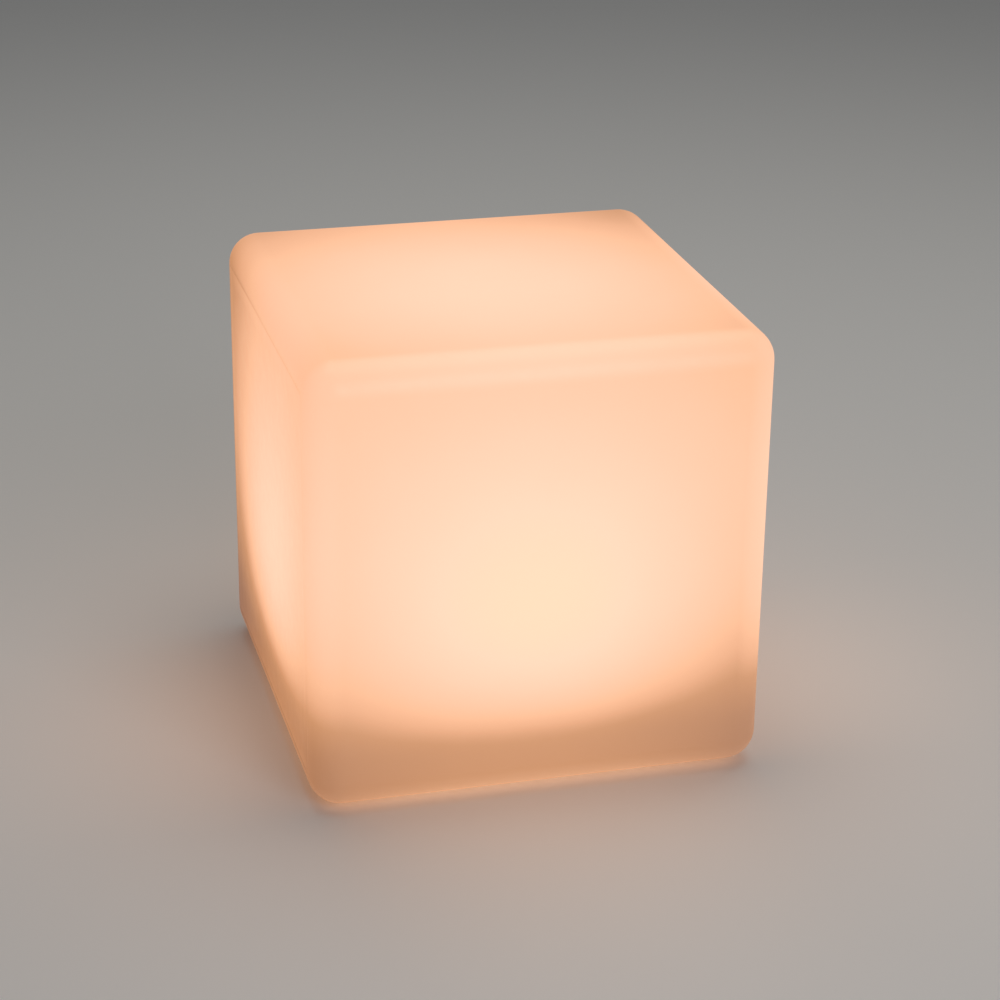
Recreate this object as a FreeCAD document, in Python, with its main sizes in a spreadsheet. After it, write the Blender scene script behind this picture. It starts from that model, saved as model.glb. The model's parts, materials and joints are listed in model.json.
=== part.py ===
"""Floating pool light: a glowing rotomoulded cube with a sealed light module in its underside.

Frame: millimetres, +Z up, origin under the middle of the cube on the plane of its feet, front at -Y.
The module goes up into the cube through a round opening; everything electrical rides in its cup.
"""
import FreeCAD, Part
import math
import os
import re

import Sketcher
from FreeCAD import Placement, Rotation, Vector

SIZES = {
    # cube and its feet
    "cube_side": 400.0, "edge_radius": 28.0, "shell_wall": 4.0, "foot_proud": 2.0,
    "foot_radius": 14.0, "foot_inset": 50.0, "foot_depth": 3.0, "foot_edge": 0.8,
    "foot_gap": 0.1,
    # recess in the underside and the opening in its roof
    "recess_radius": 95.0, "recess_roof": 16.0, "opening_radius": 53.0,
    "fixing_radius": 65.0, "fixing_count": 8, "insert_radius": 2.8, "insert_length": 8.0,
    "insert_bore": 2.05, "boss_radius": 7.0, "boss_height": 11.0,
    # module cup
    "flange_radius": 76.0, "flange_bottom": 8.0, "flange_top": 14.0, "flange_chamfer": 1.0,
    "can_radius": 48.5, "can_bore": 45.5, "well_radius": 46.0, "plate_bottom": 24.0,
    "plate_top": 27.0, "rim_radius": 52.3, "rim_bottom": 63.0, "rim_top": 67.0,
    "ledge_bore": 43.5, "ledge_bottom": 55.0, "ledge_top": 58.0, "ledge_taper": 2.0,
    "lug_radius": 3.2, "lug_line": 42.2, "lug_drop": 5.0, "lug_hole_depth": 6.0, "lug_count": 3,
    "gasket_inner": 54.0, "gasket_outer": 75.0, "label_length": 40.0, "label_width": 20.0,
    "label_line": 20.0, "label_thickness": 0.2,
    # module screws
    "screw_radius": 1.95, "screw_hole": 2.3, "screw_head": 3.8, "screw_head_height": 2.5,
    "screw_head_edge": 0.4, "screw_point": 0.6, "washer_radius": 4.6, "washer_height": 0.8,
    "counterbore_radius": 5.0, "counterbore_depth": 3.5, "screw_end": 23.0, "hex_across": 3.0,
    "hex_depth": 1.6,
    # small pan-head screws
    "pilot_radius": 0.95, "pilot_gap": 0.03, "through_gap": 0.3, "pan_radius": 2.0,
    "pan_side": 1.0, "pan_taper": 0.2, "pan_crown": 0.4, "cross_half": 0.3,
    "cross_reach": 1.1, "cross_depth": 0.7, "spreader_screw": 7.0, "led_board_screw": 4.4,
    "board_screw": 6.0,
    # charging socket
    "port_across": 18.0, "port_back": 26.0, "neck_radius": 6.0, "neck_bottom": 15.0,
    "neck_bore": 3.2, "neck_bore_top": 29.0, "socket_flange": 9.6, "socket_flange_bottom": 21.0,
    "socket_seal_bottom": 23.0, "seal_gap": 0.2, "shank_top": 32.5, "shank_hole": 6.15,
    "nut_across": 16.0, "nut_height": 3.0, "pin_radius": 1.0, "pin_inset": 3.0,
    "pin_crown": 0.4, "contact_inset": 4.0, "contact_near": 2.2, "contact_far": 2.6,
    "contact_width": 2.0, "terminal_gap": 3.0, "terminal_width": 1.8,
    "terminal_thickness": 0.4, "terminal_proud": 1.0, "slot_gap": 0.1,
    # thread of the socket's neck and of its cap
    "thread_pitch": 2.0, "thread_turns": 1.75, "cap_thread_turns": 2.0, "thread_height": 0.7,
    "thread_crest": 0.5, "thread_root": 1.1, "thread_sink": 0.2, "thread_start": 16.0,
    "cap_radius": 9.5, "cap_bore": 6.95, "cap_bottom": 11.5, "cap_floor": 14.2,
    "cap_rim": 19.8, "cap_edge": 1.2, "cap_rib": 0.4, "rib_sink": 0.5, "rib_start": 2.0,
    "rib_end": 1.0, "rib_count": 24, "coin_slot": 2.2, "coin_slot_depth": 1.4,
    # power button
    "button_radius": 8.0, "button_bottom": 13.0, "button_height": 4.5, "button_crown": 0.3,
    "button_edge": 1.5, "button_edge_radius": 1.6, "stem_radius": 3.0, "stem_hole": 3.08,
    "stem_top": 33.5, "stem_chamfer": 0.5, "collar_bore": 8.4, "collar_radius": 11.0,
    "collar_bottom": 14.0, "oring_section": 0.5, "oring_height": 25.5, "oring_gap": 0.04,
    "spring_radius": 4.8, "spring_wire": 0.4, "spring_turns": 4.5, "spring_gap": 0.05,
    "clip_radius": 5.0, "clip_height": 0.8, "clip_groove": 2.2, "clip_gap": 0.1,
    "clip_mouth": 1.9, "switch_side": 6.2, "switch_bottom": 34.8, "plunger_radius": 1.75,
    "plunger_bore": 1.9, "plunger_bottom": 33.6, "plunger_top": 36.2, "plunger_room": 1.2,
    # status light
    "pipe_radius": 2.0, "pipe_line": 34.0, "pipe_top": 36.4, "pipe_lip": 1.0,
    "pipe_crown": 1.2, "pipe_gap": 0.05, "status_length": 3.2, "status_width": 2.8,
    "status_gap": 0.3,
    # control board
    "board_radius": 38.5, "board_chord": 12.5, "board_bottom": 38.0, "board_thickness": 1.6,
    "board_pillar": 3.0, "pillar_line": 19.0, "pillar_gap": 30.0, "pillar_depth": 8.0,
    "chip_across": 8.0, "chip_back": 29.0, "chip_length": 8.0, "chip_width": 6.0,
    "chip_height": 1.5, "driver_across": 12.5, "driver_back": 30.75, "driver_gap": 6.0,
    "driver_width": 3.0, "driver_length": 5.5, "driver_height": 1.2,
    "inductor_across": 18.0, "inductor_back": 21.1, "inductor_side": 7.0,
    "inductor_height": 4.0, "capacitor_across": 22.0, "capacitor_back": 24.0,
    "capacitor_radius": 4.0, "capacitor_height": 11.0, "capacitor_edge": 0.4,
    "header_right": 9.0, "header_left": 8.0, "header_back": 24.0, "header_length": 6.0,
    "header_width": 4.0, "header_wall": 0.8, "header_height": 4.0, "plug_gap": 0.1,
    "plug_height": 6.0,
    # battery
    "cell_radius": 9.2, "cell_length": 65.0, "cell_gap": 1.0, "first_cell": 0.6,
    "nub_radius": 2.9, "nub_length": 0.8, "cradle_floor": 1.5, "cradle_wall": 1.4,
    "cradle_height": 7.0, "cradle_gap": 0.1, "cradle_end_gap": 0.7, "cradle_cut_side": 4.6,
    "cradle_cut_back": 5.4, "tab_width": 7.0, "tab_thickness": 0.3, "guard_length": 44.0,
    "guard_width": 9.0, "guard_thickness": 1.0, "foam_left": 28.0, "foam_right": 14.0,
    "foam_width": 32.0,
    # wires
    "lead_radius": 0.7, "lead_bend": 1.8, "lead_gap": 1.0, "red_across": 17.5,
    "red_height": 54.4, "black_across": 19.9, "black_height": 52.0, "lead_start": 9.0,
    "lead_drop": 12.0, "harness_radius": 1.2, "harness_bend": 2.2, "harness_height": 51.0,
    # light engine
    "spreader_radius": 45.2, "spreader_thickness": 2.5, "pad_thickness": 0.5,
    "pad_margin": 0.5, "led_board_radius": 38.0, "led_board_thickness": 1.6,
    "led_side": 5.0, "led_height": 1.5, "led_outer_line": 33.0, "led_inner_line": 18.0,
    "led_outer_count": 16, "led_inner_count": 8, "led_cup": 1.9, "led_cup_depth": 0.5,
    "led_screw_line": 26.0, "led_screw_count": 3, "wire_hole": 2.6, "receiver_width": 5.6,
    "receiver_front": 1.5, "receiver_rear": 2.2, "receiver_height": 5.0,
    "window_radius": 1.7, "window_bottom": 1.0, "window_height": 3.2,
    # lens
    "lens_radius": 52.0, "lens_flange": 2.0, "dome_radius": 45.0, "dome_rise": 12.0,
    "dome_wall": 2.0, "groove_inner": 46.4, "groove_outer": 48.3, "groove_depth": 1.2,
    "clamp_inner": 46.5, "clamp_height": 2.5, "clamp_chamfer": 0.6, "lens_screw_line": 50.3,
    "lens_screw_count": 6, "lens_screw": 8.0, "lens_screw_clear": 1.1,
    "lens_pan_radius": 1.7,
}

doc = FreeCAD.newDocument("pool_light")
sizes = doc.addObject("Spreadsheet::Sheet", "sizes")
for row, (alias, value) in enumerate(SIZES.items(), start=1):
    sizes.set("A%d" % row, alias)
    sizes.set("B%d" % row, str(value))
    sizes.setAlias("B%d" % row, alias)
doc.recompute()

HEADER_PLACES = ("header_right", "-header_left")
TERMINAL_PLACES = ("-terminal_gap", "0", "terminal_gap")
PILLAR_PLACES = ("-pillar_gap", "0", "pillar_gap")

QUARTER = 90
WORD = re.compile(r"[a-z][a-z_]*")
pieces = []


def cells(text):
    """Point every driving dimension named in an expression at its cell."""
    return WORD.sub(lambda word: "sizes." + word[0] if word[0] in SIZES else word[0], text)


def mm(text):
    """Work out an expression over the driving dimensions."""
    return float(sizes.evalExpression(cells(text)))


def piece(label, across="0", back="0", turn=None):
    """Start a sub-part whose axis stands at (across, back)."""
    body = doc.addObject("PartDesign::Body", label)
    body.Label = label
    body.AllowCompound = True
    if turn:
        body.Placement = Placement(Vector(), Rotation(Vector(0, 0, 1), mm(turn)))
        body.setExpression("Placement.Rotation.Angle", cells(turn))
    body.setExpression("Placement.Base.x", cells(across))
    body.setExpression("Placement.Base.y", cells(back))
    pieces.append(body)
    return body


def origin(body, role):
    return next(item for item in body.Origin.OriginFeatures if item.Role == role)


def sketch(body, name, role, level="0"):
    """A sketch on one of the sub-part's own planes, moved along its normal to level."""
    made = body.newObject("Sketcher::SketchObject", body.Name + "_" + name)
    made.AttachmentSupport = (origin(body, role), [""])
    made.MapMode = "FlatFace"
    made.setExpression("AttachmentOffset.Base.z", cells(level))
    return made


def bind(drawing, kind, where, text, value):
    """A distance constraint driven by an expression, or a lock on the axis where it is nought."""
    if abs(value) < 1e-9:
        axis = -2 if kind == "DistanceX" else -1
        drawing.addConstraint(Sketcher.Constraint("PointOnObject", where[0], where[1], axis))
        return
    index = drawing.addConstraint(Sketcher.Constraint(kind, -1, 1, where[0], where[1], value))
    drawing.setExpression("Constraints[%d]" % index, cells(text))


def dome(reach, rise):
    """The radius of a spherical cap, from the radius of its rim and its height."""
    return "((%s) ^ 2 + (%s) ^ 2) / (2 * (%s))" % (reach, rise, rise)


def outline(drawing, points, arcs=None):
    """A closed outline; arcs gives the radius of the side after a point, negative if clockwise."""
    arcs = arcs or {}
    first = drawing.GeometryCount
    places = [Vector(mm(across), mm(up), 0) for across, up in points]
    ends = []
    for index, start in enumerate(places):
        end = places[(index + 1) % len(places)]
        if index not in arcs:
            drawing.addGeometry(Part.LineSegment(start, end), False)
            ends.append((1, 2))
            continue
        radius = mm(arcs[index])
        half = (end - start) * 0.5
        side = Vector(-half.y, half.x, 0).normalize()
        reach = math.sqrt(radius * radius - half.Length ** 2)
        centre = start + half + side * math.copysign(reach, radius)
        turns = [math.atan2(p.y - centre.y, p.x - centre.x) for p in (start, end)]
        if radius < 0:
            turns.reverse()
        circle_of_arc = Part.Circle(centre, Vector(0, 0, 1), abs(radius))
        drawing.addGeometry(Part.ArcOfCircle(circle_of_arc, *turns), False)
        ends.append((2, 1) if radius < 0 else (1, 2))
    count = len(places)
    for index in range(count):
        after = (index + 1) % count
        drawing.addConstraint(Sketcher.Constraint("Coincident", first + index, ends[index][1],
                                                  first + after, ends[after][0]))
    for index, (across, up) in enumerate(points):
        where = (first + index, ends[index][0])
        bind(drawing, "DistanceX", where, across, places[index].x)
        bind(drawing, "DistanceY", where, up, places[index].y)
    for index, text in arcs.items():
        number = drawing.addConstraint(
            Sketcher.Constraint("Radius", first + index, abs(mm(text))))
        drawing.setExpression("Constraints[%d]" % number, cells("abs(%s)" % text))


def circle(drawing, across, up, radius):
    index = drawing.GeometryCount
    centre = Vector(mm(across), mm(up), 0)
    drawing.addGeometry(Part.Circle(centre, Vector(0, 0, 1), mm(radius)), False)
    number = drawing.addConstraint(Sketcher.Constraint("Radius", index, mm(radius)))
    drawing.setExpression("Constraints[%d]" % number, cells(radius))
    if abs(centre.x) < 1e-9 and abs(centre.y) < 1e-9:
        drawing.addConstraint(Sketcher.Constraint("Coincident", index, 3, -1, 1))
        return
    bind(drawing, "DistanceX", (index, 3), across, centre.x)
    bind(drawing, "DistanceY", (index, 3), up, centre.y)


def rectangle(drawing, left, right, front, back):
    outline(drawing, [(left, front), (right, front), (right, back), (left, back)])


def block(drawing, across, up, length, width):
    """A rectangle about a point."""
    rectangle(drawing, "%s - %s / 2" % (across, length), "%s + %s / 2" % (across, length),
              "%s - %s / 2" % (up, width), "%s + %s / 2" % (up, width))


def hexagon(drawing, across, up, across_flats):
    """A hexagon about a point, flats facing left and right."""
    corners = []
    for number in range(6):
        turn = math.radians(60 * number + 30)
        reach = "(%s) / 2 / cos(30 deg)" % across_flats
        corners.append(("%s + %s * %.6f" % (across, reach, math.cos(turn)),
                        "%s + %s * %.6f" % (up, reach, math.sin(turn))))
    outline(drawing, corners)


def pad(body, name, bottom, height, draw, plane="XY_Plane"):
    """Raise a flat outline from bottom by height."""
    drawing = sketch(body, name, plane, bottom)
    draw(drawing)
    feature = body.newObject("PartDesign::Pad", body.Name + "_" + name + "_raised")
    feature.Profile = drawing
    feature.setExpression("Length", cells(height))
    return feature


def pocket(body, name, top, depth, draw, plane="XY_Plane"):
    """Sink a flat outline from top down by depth."""
    drawing = sketch(body, name, plane, top)
    draw(drawing)
    feature = body.newObject("PartDesign::Pocket", body.Name + "_" + name + "_sunk")
    feature.Profile = drawing
    feature.setExpression("Length", cells(depth))
    return feature


def turned(body, name, points, arcs=None, axis="0"):
    """Turn an outline of (radius, height) points about an upright axis."""
    drawing = sketch(body, name, "XZ_Plane")
    outline(drawing, [("%s + %s" % (axis, out), up) for out, up in points], arcs)
    feature = body.newObject("PartDesign::Revolution", body.Name + "_" + name + "_turned")
    feature.Profile = drawing
    feature.ReferenceAxis = (drawing, [upright(drawing, axis)])
    feature.Angle = 360
    return feature


def upright(drawing, axis):
    """The name of the line that a turned outline goes round."""
    if abs(mm(axis)) < 1e-9:
        return "V_Axis"
    line = drawing.GeometryCount
    drawing.addGeometry(Part.LineSegment(Vector(mm(axis), 0, 0), Vector(mm(axis), 1, 0)), True)
    bind(drawing, "DistanceX", (line, 1), axis, mm(axis))
    bind(drawing, "DistanceY", (line, 1), "0", 0.0)
    drawing.addConstraint(Sketcher.Constraint("Vertical", line))
    bind(drawing, "DistanceY", (line, 2), "1", 1.0)
    return "Axis0"


def ring(label, centre, height, section, across="0", back="0"):
    """An O-ring: a round section swept about an upright axis."""
    body = piece(label, across, back)
    drawing = sketch(body, "section", "XZ_Plane")
    circle(drawing, centre, height, section)
    feature = body.newObject("PartDesign::Revolution", label + "_turned")
    feature.Profile = drawing
    feature.ReferenceAxis = (drawing, ["V_Axis"])
    feature.Angle = 360


def coiled(body, name, points, pitch, turns):
    """Wind an outline of (radius, height) points up a right-handed helix."""
    drawing = sketch(body, name, "XZ_Plane")
    outline(drawing, points)
    feature = body.newObject("PartDesign::AdditiveHelix", body.Name + "_" + name + "_wound")
    feature.Profile = drawing
    feature.ReferenceAxis = (drawing, ["V_Axis"])
    feature.Mode = "pitch-turns-angle"
    feature.setExpression("Pitch", cells(pitch))
    feature.setExpression("Turns", cells(turns))
    feature.LeftHanded = False
    feature.Reversed = False
    return feature


def around(body, features, count):
    """Repeat features evenly about the sub-part's own upright axis."""
    doc.recompute()
    pattern = body.newObject("PartDesign::PolarPattern", body.Name + "_" + features[0].Name + "s")
    pattern.Originals = features
    pattern.Axis = (origin(body, "Z_Axis"), [""])
    pattern.Angle = 360
    pattern.setExpression("Occurrences", cells(count))
    body.Tip = pattern


def rounded_cube(label, half, bottom, top, radius):
    """A cube with every edge rounded."""
    body = piece(label)
    edge = "(%s)" % half
    block = pad(body, "block", bottom, "(%s) - (%s)" % (top, bottom),
                lambda drawing: rectangle(drawing, "-" + edge, edge, "-" + edge, edge))
    rounding = body.newObject("PartDesign::Fillet", label + "_rounding")
    rounding.Base = (block, [""])
    rounding.UseAllEdges = True
    rounding.setExpression("Radius", cells(radius))
    return body


def four_corners(drawing, radius):
    """A circle over each foot."""
    reach = "(cube_side / 2 - foot_inset)"
    for side in ("", "-"):
        for end in ("", "-"):
            circle(drawing, side + reach, end + reach, radius)


def make_shell():
    """The hollow cube: its underside folds up into a round recess, thickened over the feet."""
    inner = rounded_cube("shell_cavity", "cube_side / 2 - shell_wall", "foot_proud + shell_wall",
                         "foot_proud + cube_side - shell_wall", "edge_radius - shell_wall")
    pocket(inner, "recess", "recess_roof + shell_wall", "recess_roof",
           lambda drawing: circle(drawing, "0", "0", "recess_radius + shell_wall"))
    pocket(inner, "foot_bosses", "foot_proud + shell_wall + foot_depth", "recess_roof",
           lambda drawing: four_corners(drawing, "foot_radius + shell_wall"))
    shell = rounded_cube("shell", "cube_side / 2", "foot_proud", "foot_proud + cube_side",
                         "edge_radius")
    pocket(shell, "recess", "recess_roof", "recess_roof",
           lambda drawing: circle(drawing, "0", "0", "recess_radius"))
    pocket(shell, "foot_seats", "foot_proud + foot_depth", "recess_roof",
           lambda drawing: four_corners(drawing, "foot_radius"))
    hollow = shell.newObject("PartDesign::Boolean", "shell_hollow")
    hollow.setObjects([inner])
    hollow.Type = "Cut"
    pieces.remove(inner)
    pocket(shell, "opening", "recess_roof + shell_wall + 1", "recess_roof",
           lambda drawing: circle(drawing, "0", "0", "opening_radius"))
    boss = pad(shell, "boss", "recess_roof + shell_wall", "boss_height",
               lambda drawing: circle(drawing, "fixing_radius", "0", "boss_radius"))
    around(shell, [boss], "fixing_count")
    seat = pocket(shell, "insert_seat", "recess_roof + insert_length", "insert_length",
                  lambda drawing: circle(drawing, "fixing_radius", "0", "insert_radius"))
    around(shell, [seat], "fixing_count")


def make_feet():
    """Soft feet glued into round seats under the cube's corners, with a rounded lower edge."""
    feet = piece("rubber_feet")
    axis = "(cube_side / 2 - foot_inset) * sqrt(2)"
    foot = turned(feet, "foot", [("0", "0"), ("foot_radius - foot_edge", "0"),
                                 ("foot_radius - foot_gap", "foot_edge"),
                                 ("foot_radius - foot_gap", "foot_proud + foot_depth"),
                                 ("0", "foot_proud + foot_depth")],
                  arcs={1: "foot_edge"}, axis=axis)
    around(feet, [foot], "4")
    feet.Placement = Placement(Vector(), Rotation(Vector(0, 0, 1), QUARTER / 2))


def make_inserts():
    """Knurled brass inserts that take the module's screws."""
    inserts = piece("threaded_inserts")
    insert = turned(inserts, "insert", [("insert_bore", "recess_roof"),
                                        ("insert_radius", "recess_roof"),
                                        ("insert_radius", "recess_roof + insert_length"),
                                        ("insert_bore", "recess_roof + insert_length")],
                    axis="fixing_radius")
    around(inserts, [insert], "fixing_count")


def make_gasket():
    gasket = piece("module_gasket")
    turned(gasket, "ring", [("gasket_inner", "flange_top"), ("gasket_outer", "flange_top"),
                            ("gasket_outer", "recess_roof"), ("gasket_inner", "recess_roof")])
    hole = pocket(gasket, "screw_hole", "recess_roof", "recess_roof - flange_top",
                  lambda drawing: circle(drawing, "fixing_radius", "0", "screw_hole"))
    around(gasket, [hole], "fixing_count")


def make_module_body():
    """The cup: a flange, a charging well below a solid plate, and a can for the electronics."""
    cup = piece("module_body")
    turned(cup, "cup", [
        ("0", "plate_bottom"), ("well_radius", "plate_bottom"),
        ("well_radius", "flange_bottom"), ("flange_radius - flange_chamfer", "flange_bottom"),
        ("flange_radius", "flange_bottom + flange_chamfer"), ("flange_radius", "flange_top"),
        ("can_radius", "flange_top"), ("can_radius", "rim_bottom"),
        ("rim_radius", "rim_bottom"), ("rim_radius", "rim_top"),
        ("groove_outer", "rim_top"), ("groove_outer", "rim_top - groove_depth"),
        ("groove_inner", "rim_top - groove_depth"), ("groove_inner", "rim_top"),
        ("can_bore", "rim_top"), ("can_bore", "ledge_top"), ("ledge_bore", "ledge_top"),
        ("ledge_bore", "ledge_bottom"), ("can_bore", "ledge_bottom - ledge_taper"),
        ("can_bore", "plate_top"), ("0", "plate_top")])
    seat = pocket(cup, "head_seat", "flange_bottom + counterbore_depth", "counterbore_depth",
                  lambda drawing: circle(drawing, "fixing_radius", "0", "counterbore_radius"))
    hole = pocket(cup, "screw_hole", "flange_top", "flange_top - flange_bottom",
                  lambda drawing: circle(drawing, "fixing_radius", "0", "screw_hole"))
    around(cup, [seat, hole], "fixing_count")
    hole = pocket(cup, "lens_screw_hole", "rim_top", "rim_top - rim_bottom",
                  lambda drawing: circle(drawing, "lens_screw_line", "0", "pilot_radius"))
    around(cup, [hole], "lens_screw_count")
    lug = pad(cup, "lug", "ledge_bottom - lug_drop", "ledge_top - ledge_bottom + lug_drop",
              lambda drawing: circle(drawing, "0", "lug_line", "lug_radius"))
    hole = pocket(cup, "lug_hole", "ledge_top", "lug_hole_depth",
                  lambda drawing: circle(drawing, "0", "lug_line", "pilot_radius"))
    around(cup, [lug, hole], "lug_count")
    pad(cup, "collar", "collar_bottom", "plate_bottom - collar_bottom", draw_collar)
    for place in PILLAR_PLACES:
        pad(cup, "pillar", "plate_top", "board_bottom - plate_top",
            lambda drawing: circle(drawing, place, "-pillar_line", "board_pillar"))
        pocket(cup, "pillar_hole", "board_bottom", "pillar_depth",
               lambda drawing: circle(drawing, place, "-pillar_line", "pilot_radius"))
    pocket(cup, "plate_holes", "plate_top", "plate_top - plate_bottom", draw_plate_holes)


def draw_collar(drawing):
    """The ring that guards the power button."""
    circle(drawing, "-port_across", "-port_back", "collar_radius")
    circle(drawing, "-port_across", "-port_back", "collar_bore")


def draw_plate_holes(drawing):
    """Holes through the plate for the button's stem, the socket's shank and the light pipe."""
    circle(drawing, "-port_across", "-port_back", "stem_hole")
    circle(drawing, "port_across", "-port_back", "shank_hole")
    circle(drawing, "0", "-pipe_line", "pipe_radius + pipe_gap")


def make_module_screws():
    """Socket-head screws and their washers, which hold the module up against the gasket."""
    washer_bottom = "flange_bottom + counterbore_depth - washer_height"
    head_bottom = washer_bottom + " - screw_head_height"
    screws = piece("module_screws")
    shape = turned(screws, "screw", [
        ("0", head_bottom), ("screw_head - screw_head_edge", head_bottom),
        ("screw_head", head_bottom + " + screw_head_edge"),
        ("screw_head", washer_bottom), ("screw_radius", washer_bottom),
        ("screw_radius", "screw_end - screw_point"), ("screw_radius - screw_point", "screw_end"),
        ("0", "screw_end")], axis="fixing_radius")
    drive = pocket(screws, "hex", head_bottom + " + hex_depth", "hex_depth",
                   lambda drawing: hexagon(drawing, "fixing_radius", "0", "hex_across"))
    around(screws, [shape, drive], "fixing_count")
    washers = piece("screw_washers")
    washer = turned(washers, "washer", [
        ("screw_hole", washer_bottom), ("washer_radius", washer_bottom),
        ("washer_radius", washer_bottom + " + washer_height"),
        ("screw_hole", washer_bottom + " + washer_height")], axis="fixing_radius")
    around(washers, [washer], "fixing_count")


def make_label():
    """The blank rating label stuck to the roof of the well."""
    label = piece("rating_label")
    pad(label, "sheet", "plate_bottom - label_thickness", "label_thickness",
        lambda drawing: block(drawing, "0", "label_line", "label_length", "label_width"))


def thread_points(out, height, sign):
    """A thread ridge: its root on radius out, its crest toward sign, centred on height."""
    crest = "%s %s thread_height" % (out, sign)
    root = "%s %s (-thread_sink)" % (out, sign)
    middle = "(%s)" % height
    half_root = "thread_root / 2"
    half_crest = "thread_crest / 2"
    points = [(root, middle + " - " + half_root), (crest, middle + " - " + half_crest),
              (crest, middle + " + " + half_crest), (root, middle + " + " + half_root)]
    return points if sign == "+" else points[::-1]


def make_charge_socket():
    """The charging jack: its threaded neck hangs in the well and its shank passes the plate."""
    socket = piece("charge_socket", "port_across", "-port_back")
    turned(socket, "barrel", [
        ("neck_bore", "neck_bottom"), ("neck_radius", "neck_bottom"),
        ("neck_radius", "socket_flange_bottom"), ("socket_flange", "socket_flange_bottom"),
        ("socket_flange", "socket_seal_bottom"), ("neck_radius", "socket_seal_bottom"),
        ("neck_radius", "shank_top"), ("0", "shank_top"), ("0", "neck_bore_top"),
        ("neck_bore", "neck_bore_top")])
    coiled(socket, "thread", thread_points("neck_radius", "thread_start", "+"),
           "thread_pitch", "thread_turns")
    turned(piece("socket_pin", "port_across", "-port_back"), "pin", [
        ("0", "neck_bottom + pin_inset - pin_crown"), ("pin_radius", "neck_bottom + pin_inset"),
        ("pin_radius", "neck_bore_top"), ("0", "neck_bore_top")],
        arcs={0: dome("pin_radius", "pin_crown")})
    contact = piece("socket_contact", "port_across", "-port_back")
    pad(contact, "blade", "neck_bottom + contact_inset",
        "neck_bore_top - neck_bottom - contact_inset",
        lambda drawing: rectangle(drawing, "contact_near", "contact_far",
                                  "-contact_width / 2", "contact_width / 2"))
    turned(piece("socket_seal", "port_across", "-port_back"), "seal", [
        ("neck_radius + seal_gap", "socket_seal_bottom"), ("socket_flange", "socket_seal_bottom"),
        ("socket_flange", "plate_bottom"), ("neck_radius + seal_gap", "plate_bottom")])
    nut = piece("socket_nut", "port_across", "-port_back")
    pad(nut, "hexagon", "plate_top", "nut_height", draw_nut)
    terminals = piece("socket_terminals", "port_across", "-port_back")
    for name, place in zip("abc", TERMINAL_PLACES):
        pad(terminals, "lug_" + name, "shank_top",
            "board_bottom + board_thickness + terminal_proud - shank_top",
            lambda drawing: block(drawing, place, "0", "terminal_width", "terminal_thickness"))


def draw_nut(drawing):
    hexagon(drawing, "0", "0", "nut_across")
    circle(drawing, "0", "0", "neck_radius")


def make_port_cap():
    """The screw cap over the jack, with a coin slot, grip ribs and a thread half a pitch on."""
    cap = piece("port_cap", "port_across", "-port_back")
    turned(cap, "cap", [
        ("0", "cap_bottom"), ("cap_radius - cap_edge", "cap_bottom"),
        ("cap_radius", "cap_bottom + cap_edge"), ("cap_radius", "cap_rim"),
        ("cap_bore", "cap_rim"), ("cap_bore", "cap_floor"), ("0", "cap_floor")],
        arcs={1: "cap_edge"})
    coiled(cap, "thread", thread_points("cap_bore", "thread_start - thread_pitch / 2", "-"),
           "thread_pitch", "cap_thread_turns")
    pocket(cap, "slot", "cap_bottom + coin_slot_depth", "coin_slot_depth",
           lambda drawing: block(drawing, "0", "0", "2 * cap_radius", "coin_slot"))
    rib = pad(cap, "grip", "cap_bottom + rib_start", "cap_rim - cap_bottom - rib_start - rib_end",
              lambda drawing: rectangle(drawing, "cap_radius - rib_sink", "cap_radius + cap_rib",
                                        "-cap_rib", "cap_rib"))
    around(cap, [rib], "rib_count")
    turned(piece("port_cap_seal", "port_across", "-port_back"), "seal", [
        ("cap_bore + seal_gap", "cap_rim"), ("cap_radius - seal_gap", "cap_rim"),
        ("cap_radius - seal_gap", "socket_flange_bottom"),
        ("cap_bore + seal_gap", "socket_flange_bottom")])


def make_power_button():
    """The push button: a domed pad on a stem that passes the plate through an O-ring."""
    button = piece("power_button", "-port_across", "-port_back")
    groove_low = "oring_height - oring_section"
    groove_high = "oring_height + oring_section"
    groove_floor = "stem_hole - oring_gap - 2 * oring_section"
    pad_top = "button_bottom + button_height"
    clip_low = "plate_top + clip_gap"
    turned(button, "button", [
        ("0", "button_bottom"), ("button_radius - button_edge", "button_bottom + button_crown"),
        ("button_radius", "button_bottom + button_crown + button_edge"), ("button_radius", pad_top),
        ("stem_radius", pad_top), ("stem_radius", groove_low), (groove_floor, groove_low),
        (groove_floor, groove_high), ("stem_radius", groove_high), ("stem_radius", clip_low),
        ("clip_groove", clip_low), ("clip_groove", clip_low + " + clip_height"),
        ("stem_radius", clip_low + " + clip_height"), ("stem_radius", "stem_top - stem_chamfer"),
        ("stem_radius - stem_chamfer", "stem_top"), ("0", "stem_top")],
        arcs={0: dome("button_radius - button_edge", "button_crown"), 1: "button_edge_radius"})
    ring("button_oring", "stem_hole - oring_gap - oring_section", "oring_height",
         "oring_section - oring_gap / 4", "-port_across", "-port_back")
    spring = piece("button_spring", "-port_across", "-port_back")
    drawing = sketch(spring, "wire", "XZ_Plane")
    circle(drawing, "spring_radius", pad_top + " + spring_wire + spring_gap",
           "spring_wire")
    winding = spring.newObject("PartDesign::AdditiveHelix", "button_spring_wound")
    winding.Profile = drawing
    winding.ReferenceAxis = (drawing, ["V_Axis"])
    winding.Mode = "height-turns-angle"
    winding.setExpression("Height", cells(
        "plate_bottom - (%s) - 2 * spring_wire - 2 * spring_gap" % pad_top))
    winding.setExpression("Turns", cells("spring_turns"))
    clip = piece("button_clip", "-port_across", "-port_back")
    pad(clip, "clip", clip_low, "clip_height", draw_clip)


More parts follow.
